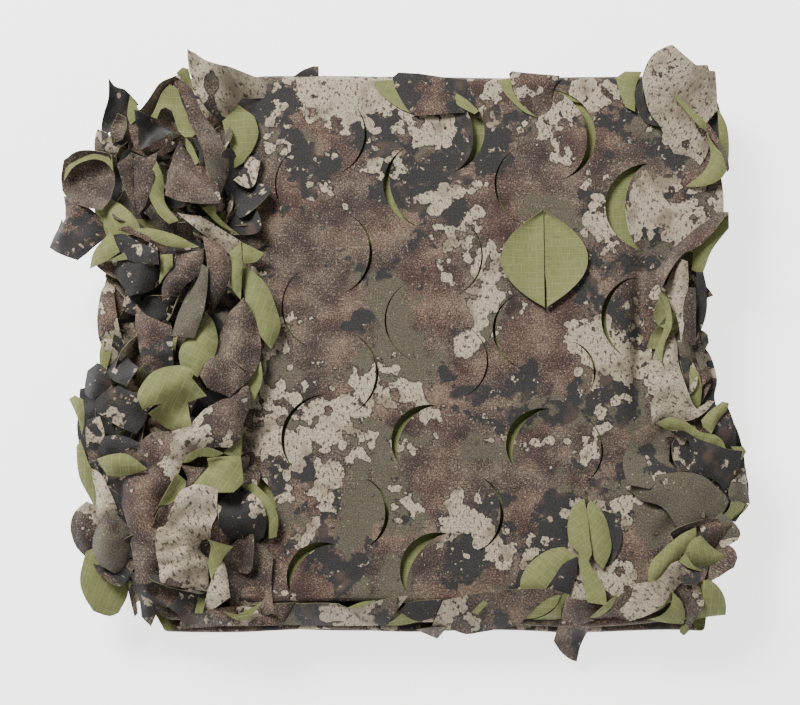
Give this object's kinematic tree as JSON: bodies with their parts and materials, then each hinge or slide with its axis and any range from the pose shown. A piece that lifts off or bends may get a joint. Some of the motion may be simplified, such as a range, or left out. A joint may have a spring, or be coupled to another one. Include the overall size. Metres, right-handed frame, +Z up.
{
  "type": "folded camouflage net",
  "caption": "Leaf-cut camouflage net folded back and forth into a flat packet, with leafy flaps along both sides.",
  "frame": {"origin": "on the surface that the packet lies on, under the middle of its box", "axes": "+X to the right along the folds, +Y away from the viewer, +Z up through the layers"},
  "size_m": [0.4466, 0.3895, 0.0946],
  "materials": {
    "printed_ripstop": "matt printed ripstop polyester, plain green on the reverse"
  },
  "bodies": {
    "root": {"net": "printed_ripstop"}
  },
  "joints": []
}
